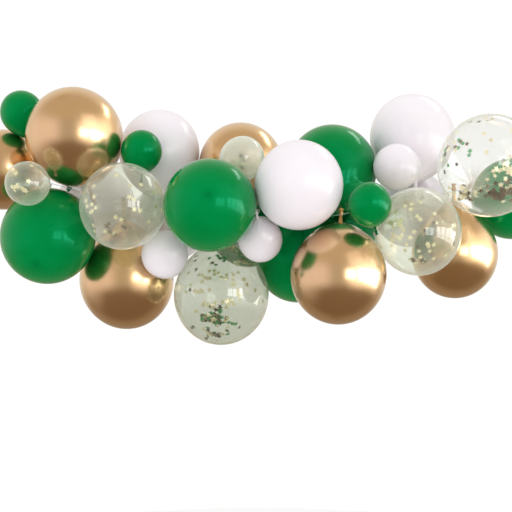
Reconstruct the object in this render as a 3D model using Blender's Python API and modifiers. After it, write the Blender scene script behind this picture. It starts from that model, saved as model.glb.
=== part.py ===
"""Balloon garland: large and small balloons packed round a hanging line with a tied loop at each end.

Metres, +Z up. The garland runs along X and its show side faces -Y. The origin is the top of the left hanging loop.
"""

import math

import bmesh
import bpy
import numpy as np
from mathutils import Vector

# Balloon sizes: width at the widest place, and how far the body runs to its crown and to its neck, in its radii
LARGE_DIAMETER = 0.256
SMALL_DIAMETER = 0.126
CROWN_REACH = 1.06
TAPER_REACH = 1.26

# Necks: the tied waist, the knot behind it and the rolled lip at the very end
NECK_RADIUS = 0.0065
WAIST_RADIUS = 0.0040
KNOT_RADIUS = 0.0075
KNOT_LENGTH = 0.013
LIP_RADIUS = 0.0085
LIP_LENGTH = 0.009
SMALL_NECK_LENGTH = 0.014
SMALL_NECK_SCALE = 0.6

# Hanging line and its loops
LINE_DIAMETER = 0.002
LOOP_LENGTH = 0.045
LOOP_WIDTH = 0.022
LOOP_KNOT_RADIUS = 0.0045
LOOP_FULLNESS = 1.3

# Glue dots, and the gap between two skins that leaves room for one
DOT_DIAMETER = 0.012
DOT_THICKNESS = 0.0008
DOT_GAP = 0.0005
SKIN_GAP = DOT_THICKNESS + 2 * DOT_GAP

# Clearances
TIE_GAP = 0.0005
CORE_CLEARANCE = 0.012
TIE_PITCH = 0.030
NECK_CLEARANCE = 0.002
SHORTEST_NECK = 0.010

# Facets
LARGE_SIDES = 14
LARGE_CROWN_RINGS = 4
SMALL_SIDES = 11
SMALL_CROWN_RINGS = 3
TAPER_RINGS = (0.40, 0.75)
DOT_SIDES = 8
LINE_POINTS = 30
LOOP_POINTS = 12
TUBE_SIDES = 8
MERGE_DISTANCE = 0.00005

# Settling of the pack
SETTLE_STEPS = 200
FREE_STEPS = 100
TIE_STEPS = 200
PULL_BACK = 0.05
LINE_SAMPLES = 240
PROFILE_SAMPLES = 40
SKIN_SAMPLES = 800
FILL_SHARES = (0.0, 0.14, 0.27, 0.39, 0.50, 0.60, 0.70, 0.78, 0.86)
ROUND_POWER = 0.5
DRAWN_POWER = 0.80

GOLD = ("chrome gold", (0.60, 0.36, 0.15), 0.22, 1.0)
GREEN = ("green latex", (0.0, 0.26, 0.055), 0.28, 0.0)
WHITE = ("white latex", (0.86, 0.82, 0.86), 0.30, 0.0)
CLEAR = ("clear latex", (0.72, 0.76, 0.70), 0.12, 0.0)
NYLON = ("clear nylon", (0.75, 0.76, 0.76), 0.35, 0.0)
GLUE = ("clear glue", (0.80, 0.80, 0.78), 0.25, 0.0)

# Large balloons: name, finish, fill as a share of the large diameter, and the place of the widest ring
# across, away from the viewer and up, in large diameters from the middle of the garland
LARGE = (
    ("gold_balloon_1", GOLD, 0.95, (-2.97, 0.40, 1.02)),
    ("white_balloon_back_1", WHITE, 0.98, (-2.02, 1.18, 0.66)),
    ("green_balloon_1", GREEN, 1.07, (-2.26, -0.18, 0.25)),
    ("gold_balloon_2", GOLD, 1.09, (-1.97, -0.22, 1.32)),
    ("confetti_balloon_1", CLEAR, 0.95, (-1.47, -0.56, 0.54)),
    ("gold_balloon_3", GOLD, 1.11, (-1.54, 0.31, -0.25)),
    ("white_balloon_1", WHITE, 0.96, (-1.14, 0.46, 1.21)),
    ("white_balloon_back_2", WHITE, 0.98, (-1.08, 1.00, 0.45)),
    ("green_balloon_2", GREEN, 0.99, (-0.48, -0.92, 0.54)),
    ("confetti_balloon_2", CLEAR, 1.08, (-0.39, 0.00, -0.41)),
    ("gold_balloon_4", GOLD, 1.00, (-0.18, 0.38, 1.04)),
    ("green_balloon_back_1", GREEN, 0.96, (-0.10, 1.05, 0.36)),
    ("white_balloon_2", WHITE, 0.95, (0.45, -0.82, 0.75)),
    ("green_balloon_3", GREEN, 0.99, (0.54, 0.46, 0.01)),
    ("green_balloon_4", GREEN, 1.06, (0.94, 0.34, 0.95)),
    ("gold_balloon_5", GOLD, 1.05, (0.96, -0.56, -0.12)),
    ("green_balloon_back_2", GREEN, 0.96, (0.98, 1.00, 0.28)),
    ("confetti_balloon_3", CLEAR, 0.96, (1.75, -0.52, 0.31)),
    ("white_balloon_3", WHITE, 1.02, (1.87, 0.64, 1.36)),
    ("white_balloon_back_3", WHITE, 0.98, (1.92, 1.15, 0.60)),
    ("gold_balloon_6", GOLD, 1.02, (2.34, 0.54, 0.07)),
    ("confetti_balloon_4", CLEAR, 1.11, (2.43, -0.68, 0.89)),
    ("green_balloon_5", GREEN, 1.00, (3.16, 0.92, 0.71)),
)

# Small balloons: name, finish, fill as a share of the small diameter, place, the balloon it is glued to
# and the other one it leans on
SMALL = (
    ("small_green_balloon_1", GREEN, 1.01, (-2.73, 0.13, 1.66), "gold_balloon_2", "gold_balloon_1"),
    ("small_confetti_balloon_1", CLEAR, 0.97, (-2.46, -0.74, 0.74), "green_balloon_1", "gold_balloon_2"),
    ("small_green_balloon_2", GREEN, 0.94, (-1.36, -0.29, 1.17), "confetti_balloon_1", "white_balloon_1"),
    ("small_white_balloon_1", WHITE, 1.07, (-1.01, -0.25, 0.00), "gold_balloon_3", "confetti_balloon_2"),
    ("small_confetti_balloon_2", CLEAR, 1.02, (-0.16, -0.37, 1.07), "gold_balloon_4", "green_balloon_2"),
    ("small_white_balloon_2", WHITE, 0.99, (0.06, -0.46, 0.18), "green_balloon_2", "white_balloon_2"),
    ("small_green_balloon_3", GREEN, 0.94, (1.24, -0.88, 0.55), "confetti_balloon_3", "gold_balloon_5"),
    ("small_white_balloon_3", WHITE, 1.07, (1.60, 0.00, 1.03), "white_balloon_3", "green_balloon_4"),
)

# Route of the hanging line between its end knots, in large diameters from the middle of the garland
LINE_ROUTE = (
    (-3.90, 1.18, 1.27),
    (-3.12, 1.00, 1.06),
    (-2.34, 0.66, 0.84),
    (-1.56, 0.30, 0.60),
    (-0.78, 0.06, 0.44),
    (0.00, -0.12, 0.40),
    (0.78, -0.22, 0.44),
    (1.56, 0.02, 0.60),
    (2.34, 0.28, 0.76),
    (3.12, 0.38, 0.90),
    (3.90, 0.44, 1.05),
)


def unit(vector):
    return vector / np.linalg.norm(vector)


def clear_scene():
    for thing in list(bpy.data.objects):
        bpy.data.objects.remove(thing, do_unlink=True)


def new_collection(name):
    collection = bpy.data.collections.new(name)
    bpy.context.scene.collection.children.link(collection)
    return collection


def paint(thing, finish):
    """Gives an object its own material in the finish's colour, roughness and metallic value."""
    label, colour, roughness, metallic = finish
    material = bpy.data.materials.new(f"{label} {thing.name}")
    material.use_nodes = True
    shader = material.node_tree.nodes["Principled BSDF"]
    shader.inputs["Base Color"].default_value = (*colour, 1.0)
    shader.inputs["Roughness"].default_value = roughness
    shader.inputs["Metallic"].default_value = metallic
    thing.data.materials.append(material)


class Line:
    """The hanging line: short straight stretches along a smooth route, which always runs on in +X."""

    def __init__(self):
        self.route = np.array(LINE_ROUTE) * LARGE_DIAMETER
        self.bends = np.array([self.point(k / (LINE_POINTS - 1)) for k in range(LINE_POINTS)])
        across = np.linspace(self.bends[0, 0], self.bends[-1, 0], LINE_SAMPLES)
        columns = [np.interp(across, self.bends[:, 0], column) for column in self.bends.T]
        self.samples = np.stack(columns, axis=1)

    def point(self, share):
        """Point at a share of the smooth curve through the route."""
        spans = len(self.route) - 1
        first = min(int(share * spans), spans - 1)
        f = share * spans - first
        here, after = self.route[first], self.route[first + 1]
        before = self.route[first - 1] if first else 2 * here - after
        beyond = self.route[first + 2] if first + 2 <= spans else 2 * after - here
        linear = after - before
        square = 2 * before - 5 * here + 4 * after - beyond
        cube = 3 * here - before - 3 * after + beyond
        return 0.5 * (2 * here + linear * f + square * f**2 + cube * f**3)

    def at(self, x):
        """Point of the line at one place across, and its direction there."""
        k = int(np.clip(np.searchsorted(self.samples[:, 0], x), 1, len(self.samples) - 1))
        before, after = self.samples[k - 1], self.samples[k]
        share = (x - before[0]) / (after[0] - before[0])
        return before + share * (after - before), unit(after - before)

    def end(self, last):
        """One end of the route, and the direction that leads out of the garland there."""
        inner, outer = (self.samples[-2], self.samples[-1]) if last else (self.samples[1], self.samples[0])
        return outer, unit(outer - inner)


class Balloon:
    """One balloon: the middle of its widest ring, its radius, and the axis from there to its tied waist."""

    def __init__(self, name, finish, diameter, place):
        self.name = name
        self.finish = finish
        self.radius = diameter / 2
        self.home = np.array(place) * LARGE_DIAMETER
        self.centre = self.home.copy()

    def aim(self, target, neck_scale):
        self.axis = unit(target - self.centre)
        self.reach = np.linalg.norm(target - self.centre)
        self.neck_scale = neck_scale
        self.taper = min(TAPER_REACH * self.radius, self.reach - SHORTEST_NECK * neck_scale)

    def width(self, along):
        """Radius of the body at a distance from its widest ring, towards the neck or, below 0, the crown."""
        if along < 0:
            return self.radius * math.sqrt(max(0.0, 1 - (along / (CROWN_REACH * self.radius)) ** 2))
        drawn_out = max(0.0, (self.taper / self.radius - 1) / (TAPER_REACH - 1))
        power = ROUND_POWER + (DRAWN_POWER - ROUND_POWER) * drawn_out
        return self.radius * max(0.0, 1 - (along / self.taper) ** 2) ** power

    def spheres(self):
        """Spheres that fill the body and follow the neck: middles, radii, and which of them are neck."""
        along = np.linspace(-CROWN_REACH * self.radius, self.taper, PROFILE_SAMPLES)
        width = np.array([self.width(a) for a in along])
        places = [(CROWN_REACH - 1) * -self.radius] + [share * self.taper for share in FILL_SHARES]
        radii = [np.hypot(along - place, width).min() for place in places]
        necks = [False] * len(places)
        knot = self.reach + KNOT_LENGTH * self.neck_scale / 2
        tail = self.reach + (KNOT_LENGTH + LIP_LENGTH) * self.neck_scale
        for place, radius in (
            (self.taper, NECK_RADIUS),
            ((self.taper + self.reach) / 2, NECK_RADIUS),
            (self.reach, NECK_RADIUS),
            (knot, KNOT_RADIUS),
            (tail, LIP_RADIUS),
        ):
            places.append(place)
            radii.append(radius * self.neck_scale + NECK_CLEARANCE)
            necks.append(True)
        middles = self.centre + np.outer(places, self.axis)
        return middles, np.array(radii), np.array(necks)


def tie_places(large):
    """Where along X each large balloon is tied: as near its own middle as the knots allow."""
    order = sorted(large, key=lambda balloon: balloon.home[0])
    places = [balloon.home[0] for balloon in order]
    for _ in range(TIE_STEPS):
        for k in range(len(places) - 1):
            short = TIE_PITCH - (places[k + 1] - places[k])
            if short > 0:
                places[k] -= short / 2
                places[k + 1] += short / 2
    return {balloon.name: place for balloon, place in zip(order, places)}


def aim_large(balloon, line, place):
    """Points a large balloon at the line, which passes just beside its waist."""
    tie, direction = line.at(place)
    side = unit(np.cross(unit(tie - balloon.centre), direction))
    balloon.aim(tie + side * (WAIST_RADIUS + LINE_DIAMETER / 2 + TIE_GAP), 1.0)


def aim_small(balloon, hosts):
    """Points a small balloon's neck between the two balloons that it lies on."""
    ways = [unit(host.centre - balloon.centre) for host in hosts]
    reach = TAPER_REACH * balloon.radius + SMALL_NECK_LENGTH
    balloon.aim(balloon.centre + unit(ways[0] + ways[1]) * reach, SMALL_NECK_SCALE)


def nearest(first, second):
    """Gap between two balloons, the way from the first to the second there, and the middle of the gap."""
    middles, radii, necks = first
    other_middles, other_radii, other_necks = second
    ways = other_middles[None] - middles[:, None]
    gaps = np.linalg.norm(ways, axis=2) - radii[:, None] - other_radii[None]
    gaps[np.outer(necks, other_necks)] = np.inf
    i, j = np.unravel_index(gaps.argmin(), gaps.shape)
    way = unit(ways[i, j])
    return gaps[i, j], way, middles[i] + way * (radii[i] + gaps[i, j] / 2)


def settle(large, small, line):
    """Packs the balloons: they stay near their places, clear of each other and of the line, and in contact."""
    pack = large + list(small)
    ties = tie_places(large)
    reach_out = CROWN_REACH + TAPER_REACH
    for step in range(SETTLE_STEPS + FREE_STEPS):
        for balloon in large:
            aim_large(balloon, line, ties[balloon.name])
        for balloon in small:
            aim_small(balloon, small[balloon])
        shapes = {balloon: balloon.spheres() for balloon in pack}
        moves = {balloon: np.zeros(3) for balloon in pack}
        for k, balloon in enumerate(pack):
            for other in pack[k + 1 :]:
                apart = np.linalg.norm(other.centre - balloon.centre)
                if apart > reach_out * (balloon.radius + other.radius):
                    continue
                gap, way, _ = nearest(shapes[balloon], shapes[other])
                if gap < SKIN_GAP:
                    moves[balloon] -= way * (SKIN_GAP - gap) / 2
                    moves[other] += way * (SKIN_GAP - gap) / 2
        for balloon in pack:
            ways = balloon.centre - line.samples
            apart = np.linalg.norm(ways, axis=1)
            k = apart.argmin()
            short = balloon.radius + CORE_CLEARANCE - apart[k]
            if short > 0:
                moves[balloon] += unit(ways[k]) * short
        for balloon, hosts in small.items():
            gap, way, _ = nearest(shapes[balloon], shapes[hosts[0]])
            if gap > SKIN_GAP:
                moves[balloon] += way * (gap - SKIN_GAP)
        for balloon in pack:
            balloon.centre = balloon.centre + moves[balloon]
            if step < SETTLE_STEPS:
                balloon.centre += (balloon.home - balloon.centre) * PULL_BACK
    for balloon in large:
        aim_large(balloon, line, ties[balloon.name])
    for balloon in small:
        aim_small(balloon, small[balloon])


def turned(name, points, sides, collection):
    """A closed turned solid from (radius, height) points, listed from the top down."""
    mesh = bpy.data.meshes.new(name)
    mesh.from_pydata([(r, 0.0, z) for r, z in points], [(k, k + 1) for k in range(len(points) - 1)], [])
    thing = bpy.data.objects.new(name, mesh)
    collection.objects.link(thing)
    screw = thing.modifiers.new("turn", "SCREW")
    screw.axis = "Z"
    screw.steps = sides
    screw.render_steps = sides
    screw.use_merge_vertices = True
    screw.merge_threshold = MERGE_DISTANCE
    screw.use_smooth_shade = True
    return thing


def point_along(thing, direction, place):
    """Turns an object's +Z to a direction and puts its origin at a place."""
    thing.rotation_mode = "QUATERNION"
    thing.rotation_quaternion = Vector(direction).to_track_quat("Z", "Y")
    thing.location = place


def balloon_profile(balloon, crown_rings):
    """(radius, height) points down from the crown: body, taper, waist, knot and lip."""
    scale = balloon.neck_scale
    crown = CROWN_REACH * balloon.radius
    angles = [math.pi / 2 * k / crown_rings for k in range(1, crown_rings + 1)]
    points = [(0.0, crown)]
    points += [(balloon.radius * math.sin(angle), crown * math.cos(angle)) for angle in angles]
    points += [(balloon.width(share * balloon.taper), -share * balloon.taper) for share in TAPER_RINGS]
    knot_end = balloon.reach + KNOT_LENGTH * scale
    lip_end = knot_end + LIP_LENGTH * scale
    points += [
        (NECK_RADIUS * scale, -balloon.taper),
        (WAIST_RADIUS * scale, -balloon.reach),
        (KNOT_RADIUS * scale, -(balloon.reach + knot_end) / 2),
        (WAIST_RADIUS * scale, -knot_end),
        (LIP_RADIUS * scale, -lip_end),
        (0.0, -lip_end),
    ]
    return points


def make_balloon(balloon, sides, crown_rings, origin, collection):
    thing = turned(balloon.name, balloon_profile(balloon, crown_rings), sides, collection)
    point_along(thing, -balloon.axis, balloon.centre - origin)
    paint(thing, balloon.finish)


def clearance(balloon, place):
    """Distance from a place to a balloon's skin."""
    away = place - balloon.centre
    rise = away @ balloon.axis
    aside = np.linalg.norm(away - rise * balloon.axis)
    along = np.linspace(-CROWN_REACH * balloon.radius, balloon.taper, SKIN_SAMPLES)
    width = np.array([balloon.width(a) for a in along])
    return np.hypot(along - rise, width - aside).min()


def make_dot(name, balloon, host, origin, collection):
    """A glue dot midway between the skins of a small balloon and the one it is stuck to."""
    _, way, middle = nearest(balloon.spheres(), host.spheres())
    middle = middle + way * (clearance(host, middle) - clearance(balloon, middle)) / 2
    bpy.ops.mesh.primitive_cylinder_add(vertices=DOT_SIDES, radius=DOT_DIAMETER / 2, depth=DOT_THICKNESS)
    dot = bpy.context.object
    dot.name = name
    dot.data.name = name
    for owner in list(dot.users_collection):
        owner.objects.unlink(dot)
    collection.objects.link(dot)
    point_along(dot, way, middle - origin)
    paint(dot, GLUE)


def tube(name, points, cyclic, collection):
    """A closed mesh tube of the line's diameter along the points."""
    data = bpy.data.curves.new(name, "CURVE")
    data.dimensions = "3D"
    data.bevel_depth = LINE_DIAMETER / 2
    data.bevel_resolution = (TUBE_SIDES - 4) // 2
    data.use_fill_caps = True
    spline = data.splines.new("POLY")
    spline.points.add(len(points) - 1)
    for knot, place in zip(spline.points, points):
        knot.co = (*place, 1.0)
    spline.use_cyclic_u = cyclic
    curve = bpy.data.objects.new(name, data)
    collection.objects.link(curve)
    bpy.context.view_layer.update()
    shape = curve.evaluated_get(bpy.context.evaluated_depsgraph_get())
    mesh = bpy.data.meshes.new_from_object(shape)
    bpy.data.objects.remove(curve, do_unlink=True)
    mesh.name = name
    shell = bmesh.new()
    shell.from_mesh(mesh)
    bmesh.ops.remove_doubles(shell, verts=shell.verts, dist=MERGE_DISTANCE)
    shell.to_mesh(mesh)
    shell.free()
    thing = bpy.data.objects.new(name, mesh)
    collection.objects.link(thing)
    return thing


def loop_points(end, outward):
    """A drop-shaped ring that starts and ends in the knot."""
    across = unit(np.cross(outward, (0.0, 1.0, 0.0)))
    points = []
    for k in range(LOOP_POINTS):
        turn = 2 * math.pi * k / LOOP_POINTS
        along = LOOP_LENGTH * (1 - math.cos(turn)) / 2
        aside = LOOP_WIDTH / 2 * math.sin(turn) * math.sqrt((1 - math.cos(turn)) / 2) * LOOP_FULLNESS
        points.append(end + outward * along + across * aside)
    return points


def join(thing, tool):
    """Adds a tool's shape to an object and keeps the tool out of sight."""
    tool.hide_render = True
    tool.display_type = "WIRE"
    union = thing.modifiers.new(f"join {tool.name}", "BOOLEAN")
    union.operation = "UNION"
    union.object = tool


def make_line(line, origin, collection, tools):
    thing = tube("hanging_line", line.bends - origin, False, collection)
    for side, last in (("left", False), ("right", True)):
        end, outward = line.end(last)
        join(thing, tube(f"{side} loop", np.array(loop_points(end, outward)) - origin, True, tools))
        bpy.ops.mesh.primitive_ico_sphere_add(subdivisions=1, radius=LOOP_KNOT_RADIUS, location=end - origin)
        knot = bpy.context.object
        knot.name = f"{side} loop knot"
        for owner in list(knot.users_collection):
            owner.objects.unlink(knot)
        tools.objects.link(knot)
        join(thing, knot)
    paint(thing, NYLON)


def main():
    clear_scene()
    garland = new_collection("balloon garland")
    tools = new_collection("join tools")
    line = Line()
    large = [Balloon(name, finish, fill * LARGE_DIAMETER, place) for name, finish, fill, place in LARGE]
    named = {balloon.name: balloon for balloon in large}
    small = {}
    for name, finish, fill, place, host, other in SMALL:
        small[Balloon(name, finish, fill * SMALL_DIAMETER, place)] = (named[host], named[other])
    settle(large, small, line)

    end, outward = line.end(False)
    origin = end + outward * LOOP_LENGTH
    for balloon in large:
        make_balloon(balloon, LARGE_SIDES, LARGE_CROWN_RINGS, origin, garland)
    for balloon in small:
        make_balloon(balloon, SMALL_SIDES, SMALL_CROWN_RINGS, origin, garland)
    for number, (balloon, hosts) in enumerate(small.items(), 1):
        make_dot(f"glue_dot_{number}", balloon, hosts[0], origin, garland)
    make_line(line, origin, garland, tools)


main()
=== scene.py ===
"""Looks of the balloon garland: latex skins with tied necks, star confetti, the hanging line and a studio."""

import math
import random

import bpy
import numpy as np
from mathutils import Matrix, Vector


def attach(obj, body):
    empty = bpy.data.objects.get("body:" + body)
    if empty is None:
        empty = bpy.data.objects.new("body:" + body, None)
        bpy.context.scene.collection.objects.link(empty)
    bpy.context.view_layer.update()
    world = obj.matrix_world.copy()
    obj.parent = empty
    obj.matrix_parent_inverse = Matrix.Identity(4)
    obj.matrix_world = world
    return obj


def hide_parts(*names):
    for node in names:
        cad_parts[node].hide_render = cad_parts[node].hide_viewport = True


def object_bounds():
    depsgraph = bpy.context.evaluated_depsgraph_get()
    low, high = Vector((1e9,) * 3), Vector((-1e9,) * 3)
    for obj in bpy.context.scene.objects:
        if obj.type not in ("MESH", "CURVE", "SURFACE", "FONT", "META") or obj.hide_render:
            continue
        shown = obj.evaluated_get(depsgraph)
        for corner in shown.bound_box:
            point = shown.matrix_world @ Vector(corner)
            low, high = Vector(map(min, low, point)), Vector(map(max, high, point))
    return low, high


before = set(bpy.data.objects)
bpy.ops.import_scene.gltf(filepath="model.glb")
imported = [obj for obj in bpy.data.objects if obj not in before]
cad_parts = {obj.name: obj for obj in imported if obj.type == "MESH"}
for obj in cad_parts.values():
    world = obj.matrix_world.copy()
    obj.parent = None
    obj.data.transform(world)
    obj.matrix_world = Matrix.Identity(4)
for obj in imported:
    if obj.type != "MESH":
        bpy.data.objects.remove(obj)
CAD_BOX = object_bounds()

# Camera: about 3.1 m in front of the garland's line, level, with a long lens
CAMERA_PLACE = (1.0410, -3.4409, -0.3365)
CAMERA_LENS = 75.0
CAMERA_SENSOR = 36.0

# Middle of the garland at the camera's height, which the lights face
MIDDLE = np.array(((CAD_BOX[0][0] + CAD_BOX[1][0]) / 2, 0.0, CAMERA_PLACE[2]))

# Least step between two rings of points on a CAD balloon
RING_STEP = 0.0005

# Fineness of the balloon skins
LARGE_SIDES = 96
SMALL_SIDES = 64
SMALL_BODY = 0.09
CROWN_ROWS = 26
TAPER_ROWS = 34
NECK_ROWS = 8
KNOT_ROWS = 14
TAIL_ROWS = 8
BEAD_ROWS = 6

# Forms of the skin
UNEVENNESS = 0.005
PLEATS = 11
PLEAT_DEPTH = 0.06
PLEAT_START = 0.72
KNOT_PLEAT_DEPTH = 0.03
TAIL_PLEAT_DEPTH = 0.05
THICK_START = 0.80
KNOT_TWIST = 3.2
KNOT_FLATNESS = 0.16
KNOT_ROUNDNESS = 0.7
LIP_FLATNESS = 0.14
LIP_BEAD = 0.0011
MOUTH_DEPTH = 0.7
MOUTH_STEPS = (0.15, 0.5, 0.8, 1.0)
CROWN_SPOT = 0.10

# Confetti stars
STAR_RADIUS = 0.0087
STAR_WAIST = 0.45
STAR_THICKNESS = 0.00014
STAR_INSET = 0.0007
STAR_CORNERS = 10
SHADE_SPREAD = 0.18
STAR_SIZES = (0.92, 1.08)
LAID_TILT = 0.06
PILED_TILT = 0.235
PILE_SPREAD = 0.6
PATCH_STRETCH = 1.5
# Share of the scattered stars that are painted dark, a painted reflection of the dark room
SCATTERED_PAINTED_DARK_SHARE = 0.2
NECK_COSINE = 0.8

# Hanging line
LINE_DIAMETER = 0.002
LARGE_DIAMETER = 0.256
LOOP_LENGTH = 0.045
LOOP_WIDTH = 0.022
LOOP_FULLNESS = 1.3
KNOT_TURNS = 5
WOUND_RADIUS = 0.95
LINE_SPANS_EACH = 20
LINE_SIDES = 12
LOOP_POINTS = 48
TURN_POINTS = 14
LINE_ROUTE = (
    (-3.90, 1.18, 1.27),
    (-3.12, 1.00, 1.06),
    (-2.34, 0.66, 0.84),
    (-1.56, 0.30, 0.60),
    (-0.78, 0.06, 0.44),
    (0.00, -0.12, 0.40),
    (0.78, -0.22, 0.44),
    (1.56, 0.02, 0.60),
    (2.34, 0.28, 0.76),
    (3.12, 0.38, 0.90),
    (3.90, 0.44, 1.05),
)

# Glue dots
DOT_GAP = 0.0018
DOT_FILL = 0.84
DOT_SLIMNESS = 0.98
DOT_SIDES = 28

# Confetti in each clear balloon: the number of stars scattered all round, then patches of stars. A patch has
# a direction (right, towards the viewer, up), spread in degrees, count, height, share of stars painted dark
# as a painted reflection, and green share
CONFETTI = {
    "confetti_balloon_1": (16, (
        ((0.00, 0.98, 0.05), 44, 20, 0.0, 0.0, 0.0),
        ((-0.05, 0.83, -0.52), 9, 7, 0.0, 1.0, 0.0),
    )),
    "confetti_balloon_2": (46, (
        ((0.00, 0.98, 0.19), 26, 36, 0.0, 0.0, 0.0),
        ((0.51, 0.50, 0.70), 14, 14, 0.001, 0.1, 0.0),
        ((0.00, 0.67, 0.74), 8, 9, 0.001, 0.1, 0.8),
        ((-0.11, 0.88, -0.45), 19, 66, 0.003, 0.4, 0.35),
        ((-0.08, 0.58, -0.81), 12, 26, 0.002, 0.4, 0.1),
    )),
    "confetti_balloon_3": (20, (
        ((0.00, 0.98, 0.05), 42, 28, 0.0, 0.05, 0.05),
        ((-0.54, 0.83, 0.13), 7, 10, 0.001, 0.0, 0.1),
        ((0.00, 0.75, -0.66), 12, 14, 0.002, 0.6, 0.0),
    )),
    "confetti_balloon_4": (46, (
        ((0.14, 0.98, -0.15), 14, 28, 0.001, 0.0, 0.0),
        ((-0.10, 0.78, -0.62), 11, 48, 0.003, 0.85, 0.0),
        ((0.30, 0.83, -0.46), 11, 54, 0.003, 0.85, 0.0),
        ((-0.60, 0.50, -0.63), 14, 42, 0.003, 0.3, 0.0),
        ((-0.78, 0.58, 0.22), 16, 16, 0.0, 0.3, 0.4),
    )),
    "small_confetti_balloon_1": (5, (
        ((-0.25, 0.93, -0.20), 28, 11, 0.0005, 0.0, 0.0),
    )),
    "small_confetti_balloon_2": (6, (
        ((-0.10, 0.95, -0.30), 30, 8, 0.0005, 0.2, 0.0),
    )),
}

# Opaque latex: colour where it is thin, thick and clouded, roughness, tint of its shine, and sheen
LATEX_IOR = 1.48
OPAQUE_LATEX = {
    "green": ((0.0, 0.215, 0.046), (0.0, 0.11, 0.023), (0.0, 0.197, 0.040), 0.09, (0.05, 0.8, 0.5), 0.02),
    "white": ((0.82, 0.775, 0.815), (0.85, 0.82, 0.83), (0.825, 0.79, 0.82), 0.18, (1.0, 1.0, 1.0), 0.08),
}

# Chrome gold latex: colour where it is clean, clouded and thick, roughness and clear coat
GOLD_CLEAN = (0.84, 0.56, 0.275, 1)
GOLD_CLOUDED = (0.81, 0.54, 0.29, 1)
GOLD_THICK = (0.66, 0.38, 0.13, 1)
GOLD_ROUGHNESS = (0.225, 0.25)
THICK_DULLNESS = 0.12
GOLD_COAT_ROUGHNESS = 0.14
GOLD_COAT_IOR = 1.6

# Foil of the stars; the dark colour is a painted dark reflection, in place of the dark room that the
# mirror-like foil shows
FOIL_GOLD = (1.0, 0.93, 0.62, 1)
FOIL_PAINTED_DARK_REFLECTION = (0.07, 0.035, 0.012, 1)
FOIL_GREEN = (0.09, 0.42, 0.15, 1)
FOIL_ROUGHNESS = (0.22, 0.34)
FOIL_METALLIC = 0.2

# Clear latex: its milk, its clouds, and its shine seen square on and edge on
MILK_THIN = (0.93, 0.95, 0.85, 1)
MILK_THICK = (0.66, 0.60, 0.44, 1)
MILK_SHINES_THROUGH = 0.45
THICK_MILKINESS = 0.40
CLEAR_CLOUDS = 0.015
LEAST_SQUARE = 0.12
CLEAR_GLOSS = 0.045
SHINE_SQUARE_ON = 0.085
SHINE_EDGE_ON = 0.885

# Looks of clear latex: the light that one skin lets through, and its milkiness seen square on
CLEAR_LOOKS = {
    "clear": ((0.915, 0.945, 0.87), 0.13),
    "smoky": ((0.72, 0.745, 0.665), 0.045),
    # Painted light: a clearer copy of the clear latex, so that its balloon looks brighter where the window
    # light falls on it
    "bright": ((0.98, 0.985, 0.975), 0.05),
    # Milky, and partly painted light: the creamier film is real, and the milk is also raised so that a small
    # balloon in shade among others looks lighter
    "milky": ((0.94, 0.96, 0.89), 0.50),
}
CLEAR_SKINS = {
    "confetti_balloon_1": "clear",
    "confetti_balloon_2": "smoky",
    "confetti_balloon_3": "clear",
    "confetti_balloon_4": "bright",
    "small_confetti_balloon_1": "clear",
    "small_confetti_balloon_2": "milky",
}

# Cloudy clear plastic: pale and deep colour, scale of its clouds, roughness and transmission
NYLON = ((0.80, 0.82, 0.82), (0.70, 0.72, 0.72), 120.0, 0.18, 0.55)
GLUE = ((0.86, 0.86, 0.83), (0.78, 0.78, 0.74), 200.0, 0.12, 0.6)

# Room that shiny surfaces reflect: its front from left to right, its low front, its top and its back
ROOM_LEFT = (0.92, 0.84, 0.86, 1)
ROOM_MIDDLE = (0.52, 0.48, 0.42, 1)
ROOM_RIGHT = (1.70, 1.62, 1.52, 1)
ROOM_LOW = (0.22, 0.152, 0.098, 1)
ROOM_LOW_LEFT = (0.50, 0.42, 0.36, 1)
ROOM_TOP = (0.60, 0.52, 0.41, 1)
ROOM_BACK = (0.80, 0.74, 0.64, 1)
ROOM_BACK_LOW = (0.34, 0.26, 0.18, 1)

# Soft light on dull surfaces from below and above, and what the camera sees behind the garland
SOFT_LOW = (1.32, 1.24, 1.23, 1)
SOFT_HIGH = (1.17, 1.17, 1.18, 1)
BACKDROP = (1.03, 1.03, 1.03, 1)

# Studio lights, which face the middle: azimuth from the viewer's side to the right, elevation, distance,
# width, height, radiance, roll, number of panes, and whether it lights dull surfaces too
LIGHTS = {
    "window upper": (70, 2.5, 4.0, 4.6, 0.95, 4.6, -12, 5, False),
    "window lower": (69, -8.5, 4.0, 4.3, 0.62, 3.4, -12, 5, False),
    "window side": (24, 5, 4.0, 1.45, 1.15, 3.4, -4, 2, False),
    "skylight": (122, 48, 3.2, 1.5, 0.5, 3.0, 20, 1, False),
    "soft key": (40, 35, 4.0, 2.2, 1.6, 0.4, 0, 1, True),
}
PANE_SHARE = 0.88

# Studio floor
FLOOR_DROP = 1.0
FLOOR_RADIUS = 1.9
FLOOR_SIDES = 96
FLOOR_PALE = (0.86, 0.855, 0.85, 1)
FLOOR_DEEP = (0.82, 0.815, 0.81, 1)

# Start of the random draws
SEED = 11


def unit(vector):
    return vector / np.linalg.norm(vector)


def smooth(low, high, x):
    t = np.clip((x - low) / (high - low), 0.0, 1.0)
    return t * t * (3 - 2 * t)


def basis(axis):
    """Two directions across an axis."""
    helper = np.array((0.0, 0.0, 1.0)) if abs(axis[2]) < 0.9 else np.array((1.0, 0.0, 0.0))
    first = unit(np.cross(helper, axis))
    return first, np.cross(axis, first)


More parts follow.
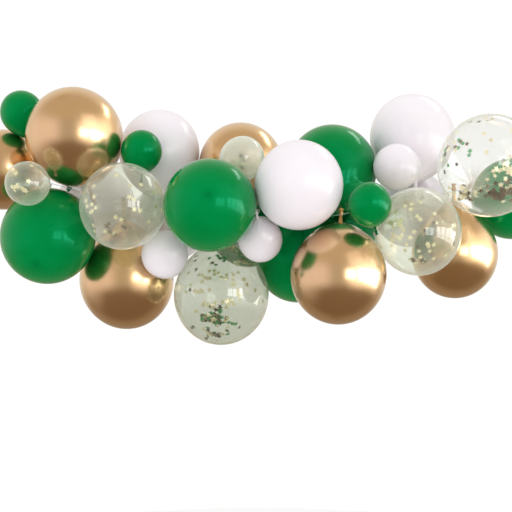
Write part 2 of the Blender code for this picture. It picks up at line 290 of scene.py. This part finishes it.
class Graph:
    """Short ways to add nodes to a material's or the world's tree."""

    def __init__(self, tree):
        self.tree = tree
        tree.nodes.clear()

    def add(self, kind, inputs=None, **settings):
        node = self.tree.nodes.new(kind)
        for name, value in settings.items():
            setattr(node, name, value)
        for key, value in (inputs or {}).items():
            self.put(node.inputs[key], value)
        return node

    def put(self, socket, value):
        if isinstance(value, bpy.types.NodeSocket):
            self.tree.links.new(value, socket)
        else:
            socket.default_value = value

    def math(self, operation, *values, clamp=False):
        inputs = dict(enumerate(values))
        return self.add("ShaderNodeMath", inputs, operation=operation, use_clamp=clamp).outputs[0]

    def fade(self, value, low, high, start=0.0, end=1.0):
        """Smooth change from start to end while a value goes from low to high."""
        inputs = {"Value": value, "From Min": low, "From Max": high, "To Min": start, "To Max": end}
        return self.add("ShaderNodeMapRange", inputs, interpolation_type="SMOOTHSTEP").outputs["Result"]

    def mix(self, share, first, second):
        node = self.add("ShaderNodeMix", data_type="RGBA")
        self.put(node.inputs[0], share)
        self.put(node.inputs[6], first)
        self.put(node.inputs[7], second)
        return node.outputs[2]

    def noise(self, scale, detail=3.0, roughness=0.5, where=None):
        inputs = {"Scale": scale, "Detail": detail, "Roughness": roughness}
        if where is not None:
            inputs["Vector"] = where
        return self.add("ShaderNodeTexNoise", inputs).outputs["Fac"]

    def bump(self, height, strength, distance):
        inputs = {"Height": height, "Strength": strength, "Distance": distance}
        return self.add("ShaderNodeBump", inputs).outputs["Normal"]

    def object_place(self):
        return self.add("ShaderNodeTexCoord").outputs["Object"]

    def attribute(self, name):
        return self.add("ShaderNodeAttribute", attribute_name=name).outputs["Fac"]


def new_material(name):
    material = bpy.data.materials.new(name)
    material.use_nodes = True
    return material, Graph(material.node_tree)


def surface(graph, shader):
    graph.add("ShaderNodeOutputMaterial", {"Surface": shader})


def opaque_latex(name, thin, thick, bloom, gloss, glint, sheen):
    """Stretched opaque latex: thin and paler on the body, deeper at the crown spot and the neck."""
    material, g = new_material(name)
    place = g.object_place()
    clouds = g.noise(9.0, 3.0, 0.55, place)
    body = g.mix(g.fade(clouds, 0.35, 0.65), (*thin, 1), (*bloom, 1))
    colour = g.mix(g.attribute("thickness"), body, (*thick, 1))
    rough = g.fade(g.noise(60.0, 4.0, 0.6, place), 0.3, 0.7, gloss, gloss + 0.07)
    waves = g.noise(22.0, 2.0, 0.4, place)
    shader = g.add("ShaderNodeBsdfPrincipled", {
        "Base Color": colour,
        "Roughness": rough,
        "IOR": LATEX_IOR,
        "Normal": g.bump(waves, 0.25, 0.0016),
        "Specular Tint": (*glint, 1),
        "Sheen Weight": sheen,
        "Sheen Roughness": 0.35,
        "Sheen Tint": (*glint, 1),
    })
    surface(g, shader.outputs[0])
    return material


def chrome_gold():
    """Metallised gold latex: a soft mirror with a slight ripple, duller at the neck."""
    material, g = new_material("chrome gold latex")
    place = g.object_place()
    clouds = g.noise(7.0, 2.0, 0.5, place)
    body = g.mix(g.fade(clouds, 0.35, 0.65), GOLD_CLEAN, GOLD_CLOUDED)
    colour = g.mix(g.attribute("thickness"), body, GOLD_THICK)
    grain = g.noise(45.0, 4.0, 0.6, place)
    dulled = g.math("MULTIPLY", g.attribute("thickness"), THICK_DULLNESS)
    rough = g.math("ADD", g.fade(grain, 0.3, 0.7, *GOLD_ROUGHNESS), dulled)
    waves = g.noise(14.0, 2.0, 0.4, place)
    shader = g.add("ShaderNodeBsdfPrincipled", {
        "Base Color": colour,
        "Metallic": 1.0,
        "Roughness": rough,
        "Normal": g.bump(waves, 0.3, 0.0022),
        "Coat Weight": 1.0,
        "Coat Roughness": GOLD_COAT_ROUGHNESS,
        "Coat IOR": GOLD_COAT_IOR,
    })
    surface(g, shader.outputs[0])
    return material


def clear_latex(name, passed, milkiness):
    """A thin clear skin, see-through by one plain value, milky where it is edge on or thick, and shiny."""
    material, g = new_material(name)
    place = g.object_place()
    facing = g.add("ShaderNodeLayerWeight", {"Blend": 0.5}).outputs["Facing"]
    square = g.math("SUBTRACT", 1.0, facing)
    most, least = 1 - milkiness + CLEAR_CLOUDS, 1 - milkiness - CLEAR_CLOUDS
    unclouded = g.fade(g.noise(11.0, 3.0, 0.5, place), 0.3, 0.7, most, least)
    slant = g.math("DIVIDE", 1.0, g.math("MAXIMUM", square, LEAST_SQUARE))
    haze = g.math("SUBTRACT", 1.0, g.math("POWER", unclouded, slant))
    haze = g.math("ADD", haze, g.math("MULTIPLY", g.attribute("thickness"), THICK_MILKINESS), clamp=True)
    growth = SHINE_EDGE_ON - SHINE_SQUARE_ON
    mirror = g.math("MULTIPLY_ADD", g.math("POWER", facing, 4.0), growth, SHINE_SQUARE_ON)
    milk_colour = g.mix(g.attribute("thickness"), MILK_THIN, MILK_THICK)
    waves = g.bump(g.noise(16.0, 2.0, 0.4, place), 0.25, 0.0020)
    front = g.add("ShaderNodeBsdfDiffuse", {"Color": milk_colour, "Normal": waves}).outputs[0]
    through = g.add("ShaderNodeBsdfTranslucent", {"Color": milk_colour, "Normal": waves}).outputs[0]
    milk = g.add("ShaderNodeMixShader", {0: MILK_SHINES_THROUGH, 1: front, 2: through}).outputs[0]
    clear = g.add("ShaderNodeBsdfTransparent", {"Color": (*passed, 1)}).outputs[0]
    skin = g.add("ShaderNodeMixShader", {0: haze, 1: clear, 2: milk}).outputs[0]
    gloss = {"Color": (1, 1, 1, 1), "Roughness": CLEAR_GLOSS, "Normal": waves}
    shine = g.add("ShaderNodeBsdfGlossy", gloss).outputs[0]
    surface(g, g.add("ShaderNodeMixShader", {0: mirror, 1: skin, 2: shine}).outputs[0])
    return material


def gold_foil():
    """Foil of the confetti stars, slightly crumpled, each star a little different in tone; stars marked dark
    get a painted dark reflection, and the marked ones are green.
    """
    material, g = new_material("gold foil")
    place = g.object_place()
    # Painted dark reflection: stars marked dark take a dark foil colour in place of the dark room they would
    # mirror
    gold = g.mix(g.attribute("shade"), FOIL_GOLD, FOIL_PAINTED_DARK_REFLECTION)
    colour = g.mix(g.attribute("green"), gold, FOIL_GREEN)
    rough = g.fade(g.noise(300.0, 3.0, 0.6, place), 0.3, 0.7, *FOIL_ROUGHNESS)
    shader = g.add("ShaderNodeBsdfPrincipled", {
        "Base Color": colour,
        "Metallic": FOIL_METALLIC,
        "Roughness": rough,
        "Normal": g.bump(g.noise(260.0, 2.0, 0.5, place), 0.5, 0.0006),
    })
    surface(g, shader.outputs[0])
    return material


def soft_plastic(name, pale, deep, scale, gloss, transmission):
    """Cloudy clear plastic, for the nylon line and the glue."""
    material, g = new_material(name)
    place = g.object_place()
    colour = g.mix(g.noise(scale, 3.0, 0.5, place), (*pale, 1), (*deep, 1))
    shader = g.add("ShaderNodeBsdfPrincipled", {
        "Base Color": colour,
        "Roughness": g.fade(g.noise(scale * 4, 3.0, 0.5, place), 0.3, 0.7, gloss, gloss + 0.12),
        "IOR": 1.53,
        "Transmission Weight": transmission,
        "Normal": g.bump(g.noise(scale * 2, 2.0, 0.5, place), 0.3, 0.0004),
    })
    surface(g, shader.outputs[0])
    return material


class Balloon:
    """A CAD balloon read back from its rings, from the crown to the lip."""

    def __init__(self, name):
        self.name = name
        points = np.array([v.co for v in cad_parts[name].data.vertices], float)
        points = np.unique(points.round(6), axis=0)
        middle = points.mean(axis=0)
        axis = np.linalg.eigh(np.cov((points - middle).T))[1][:, 2]
        along, width = self.cylindrical(points, middle, axis)
        widest = along[width.argmax()]
        if along.max() - widest < widest - along.min():
            axis, widest = -axis, -widest
        self.axis = axis
        self.centre = middle + axis * widest
        along, width = self.cylindrical(points, self.centre, axis)
        order = np.argsort(along)
        along, width = along[order], width[order]
        starts = np.flatnonzero(np.diff(along, prepend=along[0] - 1) > RING_STEP)
        self.heights = [group.mean() for group in np.split(along, starts[1:])]
        self.widths = [group.max() for group in np.split(width, starts[1:])]
        if self.widths[-1] < self.widths[-2] / 2:
            self.heights, self.widths = self.heights[:-1], self.widths[:-1]
        self.radius = max(self.widths)
        self.crown = -self.heights[0]
        self.neck_at, self.waist_at, _, self.knot_end, self.lip_end = self.heights[-5:]
        self.neck, self.waist, self.knot, _, self.lip = self.widths[-5:]
        height, width = self.heights[-6], self.widths[-6]
        self.power = math.log(width / self.radius) / math.log(1 - (height / self.neck_at) ** 2)
        self.small = self.radius < SMALL_BODY

    @staticmethod
    def cylindrical(points, middle, axis):
        along = (points - middle) @ axis
        return along, np.linalg.norm(points - middle - np.outer(along, axis), axis=1)

    def body(self, height):
        """Radius of the inflated body at a height; below 0 is the crown's side."""
        if height < 0:
            return self.radius * math.sqrt(max(0.0, 1 - (height / self.crown) ** 2))
        return self.radius * max(0.0, 1 - (height / self.neck_at) ** 2) ** self.power

    def skin(self, direction):
        """How far the skin is from the centre in a direction."""
        rise = direction @ self.axis
        across = math.sqrt(max(0.0, 1 - rise * rise))
        near, far = 0.0, 3 * self.radius
        for _ in range(30):
            middle = (near + far) / 2
            if self.body(middle * rise) > middle * across and -self.crown < middle * rise < self.neck_at:
                near = middle
            else:
                far = middle
        return near

    def rows(self):
        """Rows of the skin: height, radius, pleat depth, flatness, twist and thickness of the latex."""
        rows = []
        for k in range(1, CROWN_ROWS + 1):
            angle = math.pi / 2 * k / CROWN_ROWS
            spot = math.exp(-((angle / CROWN_SPOT) ** 2))
            rows.append((-self.crown * math.cos(angle), self.radius * math.sin(angle), 0, 0, 0, 0.5 * spot))
        for k in range(1, TAPER_ROWS + 1):
            share = math.sin(math.pi / 2 * k / TAPER_ROWS)
            pleat = PLEAT_DEPTH * float(smooth(PLEAT_START, 1.0, share))
            height = share * self.neck_at
            width = math.hypot(self.body(height), self.neck * share**6)
            rows.append((height, width, pleat, 0, 0, float(smooth(THICK_START, 1.0, share))))
        for k in range(1, NECK_ROWS + 1):
            share = k / NECK_ROWS
            height = self.neck_at + share * (self.waist_at - self.neck_at)
            width = self.neck + (self.waist - self.neck) * float(smooth(0, 1, share))
            rows.append((height, width, PLEAT_DEPTH * (1 + share), 0, 0.5 * share, 1))
        for k in range(1, KNOT_ROWS + 1):
            share = k / KNOT_ROWS
            height = self.waist_at + share * (self.knot_end - self.waist_at)
            width = self.waist + (self.knot - self.waist) * math.sin(math.pi * share) ** KNOT_ROUNDNESS
            flatness = KNOT_FLATNESS * math.sin(math.pi * share)
            rows.append((height, width, KNOT_PLEAT_DEPTH, flatness, KNOT_TWIST * share, 1))
        tail_end = self.lip_end - LIP_BEAD
        lip = self.lip - LIP_BEAD
        for k in range(1, TAIL_ROWS + 1):
            share = k / TAIL_ROWS
            height = self.knot_end + share * (tail_end - self.knot_end)
            width = self.waist + (lip - self.waist) * float(smooth(0, 1, share))
            pleat = TAIL_PLEAT_DEPTH * (1 - share)
            rows.append((height, width, pleat, LIP_FLATNESS * share, KNOT_TWIST, 0.9))
        for k in range(1, BEAD_ROWS + 1):
            angle = math.pi * k / BEAD_ROWS
            height = tail_end + LIP_BEAD * (1 - math.cos(angle)) / 2
            rows.append((height, lip + LIP_BEAD * math.sin(angle), 0, LIP_FLATNESS, KNOT_TWIST, 1))
        depth = (self.lip_end - self.knot_end) * MOUTH_DEPTH
        for share in MOUTH_STEPS:
            height = self.lip_end - depth * share
            width = lip * (0.82 - 0.45 * share)
            rows.append((height, width, 0, LIP_FLATNESS * (1 - share), KNOT_TWIST, 1))
        return rows


def mesh_object(name, points, faces, material):
    mesh = bpy.data.meshes.new(name)
    mesh.from_pydata([tuple(point) for point in points], [], faces)
    mesh.materials.append(material)
    mesh.shade_smooth()
    thing = bpy.data.objects.new(name, mesh)
    bpy.context.scene.collection.objects.link(thing)
    return thing


def point_values(thing, name, values):
    attribute = thing.data.attributes.new(name, "FLOAT", "POINT")
    attribute.data.foreach_set("value", np.asarray(values, np.float32))


def ring_faces(rows, sides, first):
    """Quads between rows of points, which start at a point number."""
    faces = []
    for row in range(rows - 1):
        for side in range(sides):
            after = (side + 1) % sides
            a, b = first + row * sides, first + (row + 1) * sides
            faces.append((a + side, b + side, b + after, a + after))
    return faces


def make_skin(balloon, draw, material):
    """The fine skin of a balloon: uneven body, pleated neck, twisted knot and rolled lip."""
    sides = SMALL_SIDES if balloon.small else LARGE_SIDES
    turn = np.arange(sides) * 2 * math.pi / sides
    phases = [draw.uniform(0, 2 * math.pi) for _ in range(5)]
    across, aside = basis(balloon.axis)
    rows = balloon.rows()
    points = [balloon.centre - balloon.axis * balloon.crown]
    thickness = [0.5]
    for height, width, pleat, flatness, twist, thick in rows:
        share = width / balloon.radius
        form = 1 + UNEVENNESS * share * (np.cos(2 * turn + phases[0]) + 0.6 * np.cos(3 * turn + phases[1]))
        folds = np.cos(PLEATS * turn + phases[2]) + 0.5 * np.cos((PLEATS - 4) * turn + phases[3])
        form = form + pleat * folds + flatness * np.cos(2 * (turn - twist) + phases[4])
        ring = np.outer(np.cos(turn) * width * form, across) + np.outer(np.sin(turn) * width * form, aside)
        points.extend(balloon.centre + balloon.axis * height + ring)
        thickness.extend([thick] * sides)
    points.append(balloon.centre + balloon.axis * rows[-1][0])
    thickness.append(1.0)
    last = len(points) - 1
    faces = [(0, 1 + side, 1 + (side + 1) % sides) for side in range(sides)]
    faces += ring_faces(len(rows), sides, 1)
    faces += [(last, last - sides + (side + 1) % sides, last - sides + side) for side in range(sides)]
    skin = mesh_object(balloon.name + "_skin", points, faces, material)
    point_values(skin, "thickness", thickness)
    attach(skin, "root")
    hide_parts(balloon.name)


def star_places(balloon, draw):
    """The stars: direction from the centre, height off the skin, and 1 or 0 for a star with a painted dark
    reflection and for a green one.
    """
    scattered, patches = CONFETTI[balloon.name]
    found = []
    while len(found) < scattered:
        way = unit(np.array([draw.gauss(0, 1) for _ in range(3)]))
        if way @ balloon.axis < NECK_COSINE:
            found.append((way, 0.0, float(draw.random() < SCATTERED_PAINTED_DARK_SHARE), 0.0))
    for (right, near, up), spread, count, pile, dark, green in patches:
        middle = unit(np.array((right, -near, up)))
        first, second = basis(middle)
        for _ in range(count):
            reach = abs(draw.gauss(0, PILE_SPREAD)) if pile else math.sqrt(draw.random())
            away = math.radians(spread) * reach
            turn = draw.uniform(0, 2 * math.pi)
            aside = first * math.cos(turn) * PATCH_STRETCH + second * math.sin(turn)
            kind = draw.random()
            tones = (float(kind < dark), float(dark <= kind < dark + green))
            found.append((unit(middle + aside * math.tan(away)), pile * draw.random(), *tones))
    return found


def make_confetti(balloon, draw, material):
    """All the foil stars of one clear balloon, lying on the inside of its skin."""
    points, faces, tones_and_painted_reflection, greens = [], [], [], []
    for way, pile, dark, green in star_places(balloon, draw):
        skin = balloon.skin(way)
        place = balloon.centre + way * (skin - STAR_INSET - pile)
        tilt = PILED_TILT if pile else LAID_TILT
        normal = unit(way + np.array([draw.gauss(0, tilt) for _ in range(3)]))
        place = place - way * STAR_RADIUS * float(np.linalg.norm(np.cross(normal, way)))
        first, second = basis(normal)
        turn = draw.uniform(0, 2 * math.pi)
        size = STAR_RADIUS * draw.uniform(*STAR_SIZES)
        start = len(points)
        for side in (-1, 1):
            for k in range(STAR_CORNERS):
                reach = size * (STAR_WAIST if k % 2 else 1.0)
                angle = turn + 2 * math.pi * k / STAR_CORNERS
                bend = reach**2 / (2 * skin)
                spot = place + first * math.cos(angle) * reach + second * math.sin(angle) * reach
                points.append(spot + normal * (side * STAR_THICKNESS / 2 - bend))
        other = start + STAR_CORNERS
        for side, flip in ((start, -1), (other, 1)):
            inner = [side + k for k in range(1, STAR_CORNERS, 2)]
            faces.append(tuple(inner[::flip]))
            for k in range(0, STAR_CORNERS, 2):
                tip = (side + (k - 1) % STAR_CORNERS, side + k, side + k + 1)
                faces.append(tip[::flip])
        for k in range(STAR_CORNERS):
            after = (k + 1) % STAR_CORNERS
            faces.append((start + k, start + after, other + after, other + k))
        # Painted dark reflection: stars marked dark are coloured dark in place of the dark room they would
        # mirror; the rest varies at random in tone
        tones_and_painted_reflection.extend([(1 - SHADE_SPREAD) * dark + SHADE_SPREAD * draw.random()] * 2 * STAR_CORNERS)
        greens.extend([green] * 2 * STAR_CORNERS)
    stars = mesh_object(balloon.name + "_stars", points, faces, material)
    stars.data.shade_flat()
    point_values(stars, "shade", tones_and_painted_reflection)
    point_values(stars, "green", greens)
    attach(stars, "root")


def tube(name, stretches, radius, sides, material):
    """One mesh of round tubes, each along its own points; a closed one ends where it starts."""
    points, faces = [], []
    for path, closed in stretches:
        path = np.array(path, float)
        ahead = np.roll(path, -1, axis=0) - np.roll(path, 1, axis=0)
        if not closed:
            ahead[0], ahead[-1] = path[1] - path[0], path[-1] - path[-2]
        first = len(points)
        across = basis(unit(ahead[0]))[0]
        for spot, way in zip(path, ahead):
            way = unit(way)
            across = unit(across - way * (across @ way))
            aside = np.cross(way, across)
            for k in range(sides):
                turn = 2 * math.pi * k / sides
                points.append(spot + radius * (across * math.cos(turn) + aside * math.sin(turn)))
        faces += [face[::-1] for face in ring_faces(len(path), sides, first)]
        last = first + (len(path) - 1) * sides
        if closed:
            shift = min(range(sides), key=lambda k: np.linalg.norm(points[last + k] - points[first]))
            for side in range(sides):
                a, b = last + (side + shift) % sides, last + (side + 1 + shift) % sides
                faces.append((a, b, first + (side + 1) % sides, first + side))
        else:
            faces.append(tuple(first + k for k in range(sides))[::-1])
            faces.append(tuple(last + k for k in range(sides)))
    return mesh_object(name, points, faces, material)


def line_point(route, share):
    """Point at a share of the smooth curve through the route."""
    spans = len(route) - 1
    first = min(int(share * spans), spans - 1)
    f = share * spans - first
    here, after = route[first], route[first + 1]
    before = route[first - 1] if first else 2 * here - after
    beyond = route[first + 2] if first + 2 <= spans else 2 * after - here
    linear = after - before
    square = 2 * before - 5 * here + 4 * after - beyond
    cube = 3 * here - before - 3 * after + beyond
    return 0.5 * (2 * here + linear * f + square * f**2 + cube * f**3)


def make_line(material):
    """The hanging line with a drop-shaped loop and a barrel of turns at each end."""
    route = np.array(LINE_ROUTE) * LARGE_DIAMETER
    count = LINE_SPANS_EACH * (len(route) - 1)
    path = np.array([line_point(route, k / count) for k in range(count + 1)])
    left_end, left_out = path[0], unit(path[0] - path[1])
    path = path - left_end - left_out * LOOP_LENGTH
    stretches = [(path, False)]
    for end, outward in ((path[0], unit(path[0] - path[1])), (path[-1], unit(path[-1] - path[-2]))):
        across = unit(np.cross(outward, (0.0, 1.0, 0.0)))
        side = np.cross(outward, across)
        loop = []
        for k in range(LOOP_POINTS):
            turn = 2 * math.pi * k / LOOP_POINTS
            along = LOOP_LENGTH * (1 - math.cos(turn)) / 2
            aside = LOOP_WIDTH / 2 * math.sin(turn) * math.sqrt((1 - math.cos(turn)) / 2) * LOOP_FULLNESS
            loop.append(end + outward * along + across * aside)
        stretches.append((loop, True))
        barrel = []
        for k in range(KNOT_TURNS * TURN_POINTS + 1):
            turn = 2 * math.pi * k / TURN_POINTS
            along = LINE_DIAMETER * (k / TURN_POINTS - KNOT_TURNS / 2)
            spin = across * math.cos(turn) + side * math.sin(turn)
            barrel.append(end + outward * along + spin * LINE_DIAMETER * WOUND_RADIUS)
        stretches.append((barrel, False))
    line = tube("hanging_line_cord", stretches, LINE_DIAMETER / 2, LINE_SIDES, material)
    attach(line, "root")
    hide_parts("hanging_line")


def make_dot(name, material):
    """A glue dot: a soft bead with drawn-in sides, squeezed between two skins."""
    points = np.array([v.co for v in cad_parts[name].data.vertices], float)
    middle = points.mean(axis=0)
    axis = np.linalg.eigh(np.cov((points - middle).T))[1][:, 0]
    radius = np.linalg.norm(points - middle, axis=1).max() * DOT_SLIMNESS
    across, aside = basis(axis)
    half = DOT_GAP * DOT_FILL / 2
    outline = [(-half, 0.45), (-half, 0.85), (-half * 0.8, 0.97), (-half * 0.3, 0.93)]
    outline += [(-height, width) for height, width in outline[::-1]]
    spots = [middle - axis * half]
    for height, width in outline:
        for k in range(DOT_SIDES):
            turn = 2 * math.pi * k / DOT_SIDES
            spin = across * math.cos(turn) + aside * math.sin(turn)
            spots.append(middle + axis * height + spin * radius * width)
    spots.append(middle + axis * half)
    last = len(spots) - 1
    faces = [(0, 1 + k, 1 + (k + 1) % DOT_SIDES)[::-1] for k in range(DOT_SIDES)]
    faces += [face[::-1] for face in ring_faces(len(outline), DOT_SIDES, 1)]
    rim = last - DOT_SIDES
    faces += [(last, rim + (k + 1) % DOT_SIDES, rim + k)[::-1] for k in range(DOT_SIDES)]
    dot = mesh_object(name + "_bead", spots, faces, material)
    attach(dot, "root")
    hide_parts(name)


def make_world():
    """White behind all for the camera, soft light all round, and a room with a dark low front to reflect."""
    world = bpy.data.worlds.new("studio")
    bpy.context.scene.world = world
    world.use_nodes = True
    g = Graph(world.node_tree)
    way = g.add("ShaderNodeSeparateXYZ", {0: g.add("ShaderNodeTexCoord").outputs["Generated"]})
    right, back, up = way.outputs
    front = g.mix(g.fade(right, -0.15, -0.70), ROOM_MIDDLE, ROOM_LEFT)
    front = g.mix(g.fade(right, 0.10, 0.70), front, ROOM_RIGHT)
    low = g.mix(g.fade(right, -0.60, -1.0), ROOM_LOW, ROOM_LOW_LEFT)
    room = g.mix(g.fade(up, -0.10, -0.52), front, low)
    room = g.mix(g.fade(up, 0.25, 0.70), room, ROOM_TOP)
    behind = g.mix(g.fade(up, 0.0, -0.5), ROOM_BACK, ROOM_BACK_LOW)
    room = g.mix(g.fade(back, 0.10, 0.55), room, behind)
    soft = g.mix(g.fade(up, -0.9, 0.6), SOFT_LOW, SOFT_HIGH)
    rays = g.add("ShaderNodeLightPath").outputs
    colour = g.mix(rays["Is Glossy Ray"], soft, room)
    colour = g.mix(rays["Is Camera Ray"], colour, BACKDROP)
    g.add("ShaderNodeOutputWorld", {"Surface": g.add("ShaderNodeBackground", {"Color": colour}).outputs[0]})


def make_light(name, azimuth, elevation, distance, width, height, radiance, roll, panes, diffuse):
    """One flat light, or a row of lit window panes with dark bars between them."""
    a, e = math.radians(azimuth), math.radians(elevation)
    way = np.array((math.sin(a) * math.cos(e), -math.cos(a) * math.cos(e), math.sin(e)))
    rotation = Vector(-way).to_track_quat("-Z", "Y").to_euler()
    rotation.rotate_axis("Z", math.radians(roll))
    along = np.array(rotation.to_matrix().col[0])
    pitch = width / panes
    lit = pitch * PANE_SHARE if panes > 1 else width
    for pane in range(panes):
        data = bpy.data.lights.new(f"{name} {pane + 1}", "AREA")
        data.shape = "RECTANGLE"
        data.size, data.size_y = lit, height
        data.energy = radiance * math.pi * lit * height
        panel = bpy.data.objects.new(data.name, data)
        bpy.context.scene.collection.objects.link(panel)
        panel.location = MIDDLE + way * distance + along * pitch * (pane - (panes - 1) / 2)
        panel.rotation_euler = rotation
        panel.visible_camera = False
        panel.visible_diffuse = diffuse


def make_stage():
    floor_height = CAD_BOX[0][2] - FLOOR_DROP
    bpy.ops.mesh.primitive_circle_add(vertices=FLOOR_SIDES, radius=FLOOR_RADIUS, fill_type="NGON",
                                      location=(MIDDLE[0], 0.0, floor_height))
    floor = bpy.context.object
    floor.name = "floor"
    material, g = new_material("pale floor")
    grain = g.noise(6.0, 3.0, 0.5, g.object_place())
    colour = g.mix(grain, FLOOR_PALE, FLOOR_DEEP)
    surface(g, g.add("ShaderNodeBsdfPrincipled", {"Base Color": colour, "Roughness": 0.7}).outputs[0])
    floor.data.materials.append(material)
    floor.visible_glossy = False


def make_camera():
    data = bpy.data.cameras.new("camera")
    data.lens = CAMERA_LENS
    data.sensor_width = CAMERA_SENSOR
    camera = bpy.data.objects.new("camera", data)
    bpy.context.scene.collection.objects.link(camera)
    camera.location = CAMERA_PLACE
    camera.rotation_euler = (math.pi / 2, 0.0, 0.0)
    bpy.context.scene.camera = camera
    bpy.context.scene.view_settings.view_transform = "Standard"


def main():
    make_camera()
    make_world()
    for name, values in LIGHTS.items():
        make_light(name, *values)
    make_stage()
    skins = {kind: opaque_latex(f"{kind} latex", *look) for kind, look in OPAQUE_LATEX.items()}
    skins["gold"] = chrome_gold()
    clear = {look: clear_latex(f"{look} clear latex", *values) for look, values in CLEAR_LOOKS.items()}
    foil = gold_foil()
    draw = random.Random(SEED)
    for name in sorted(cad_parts):
        kind = name.replace("small_", "").split("_")[0]
        if kind in skins:
            make_skin(Balloon(name), draw, skins[kind])
        elif kind == "confetti":
            balloon = Balloon(name)
            make_skin(balloon, draw, clear[CLEAR_SKINS[name]])
            make_confetti(balloon, draw, foil)
    make_line(soft_plastic("clear nylon", *NYLON))
    glue = soft_plastic("clear glue", *GLUE)
    for name in sorted(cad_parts):
        if name.startswith("glue_dot"):
            make_dot(name, glue)


main()
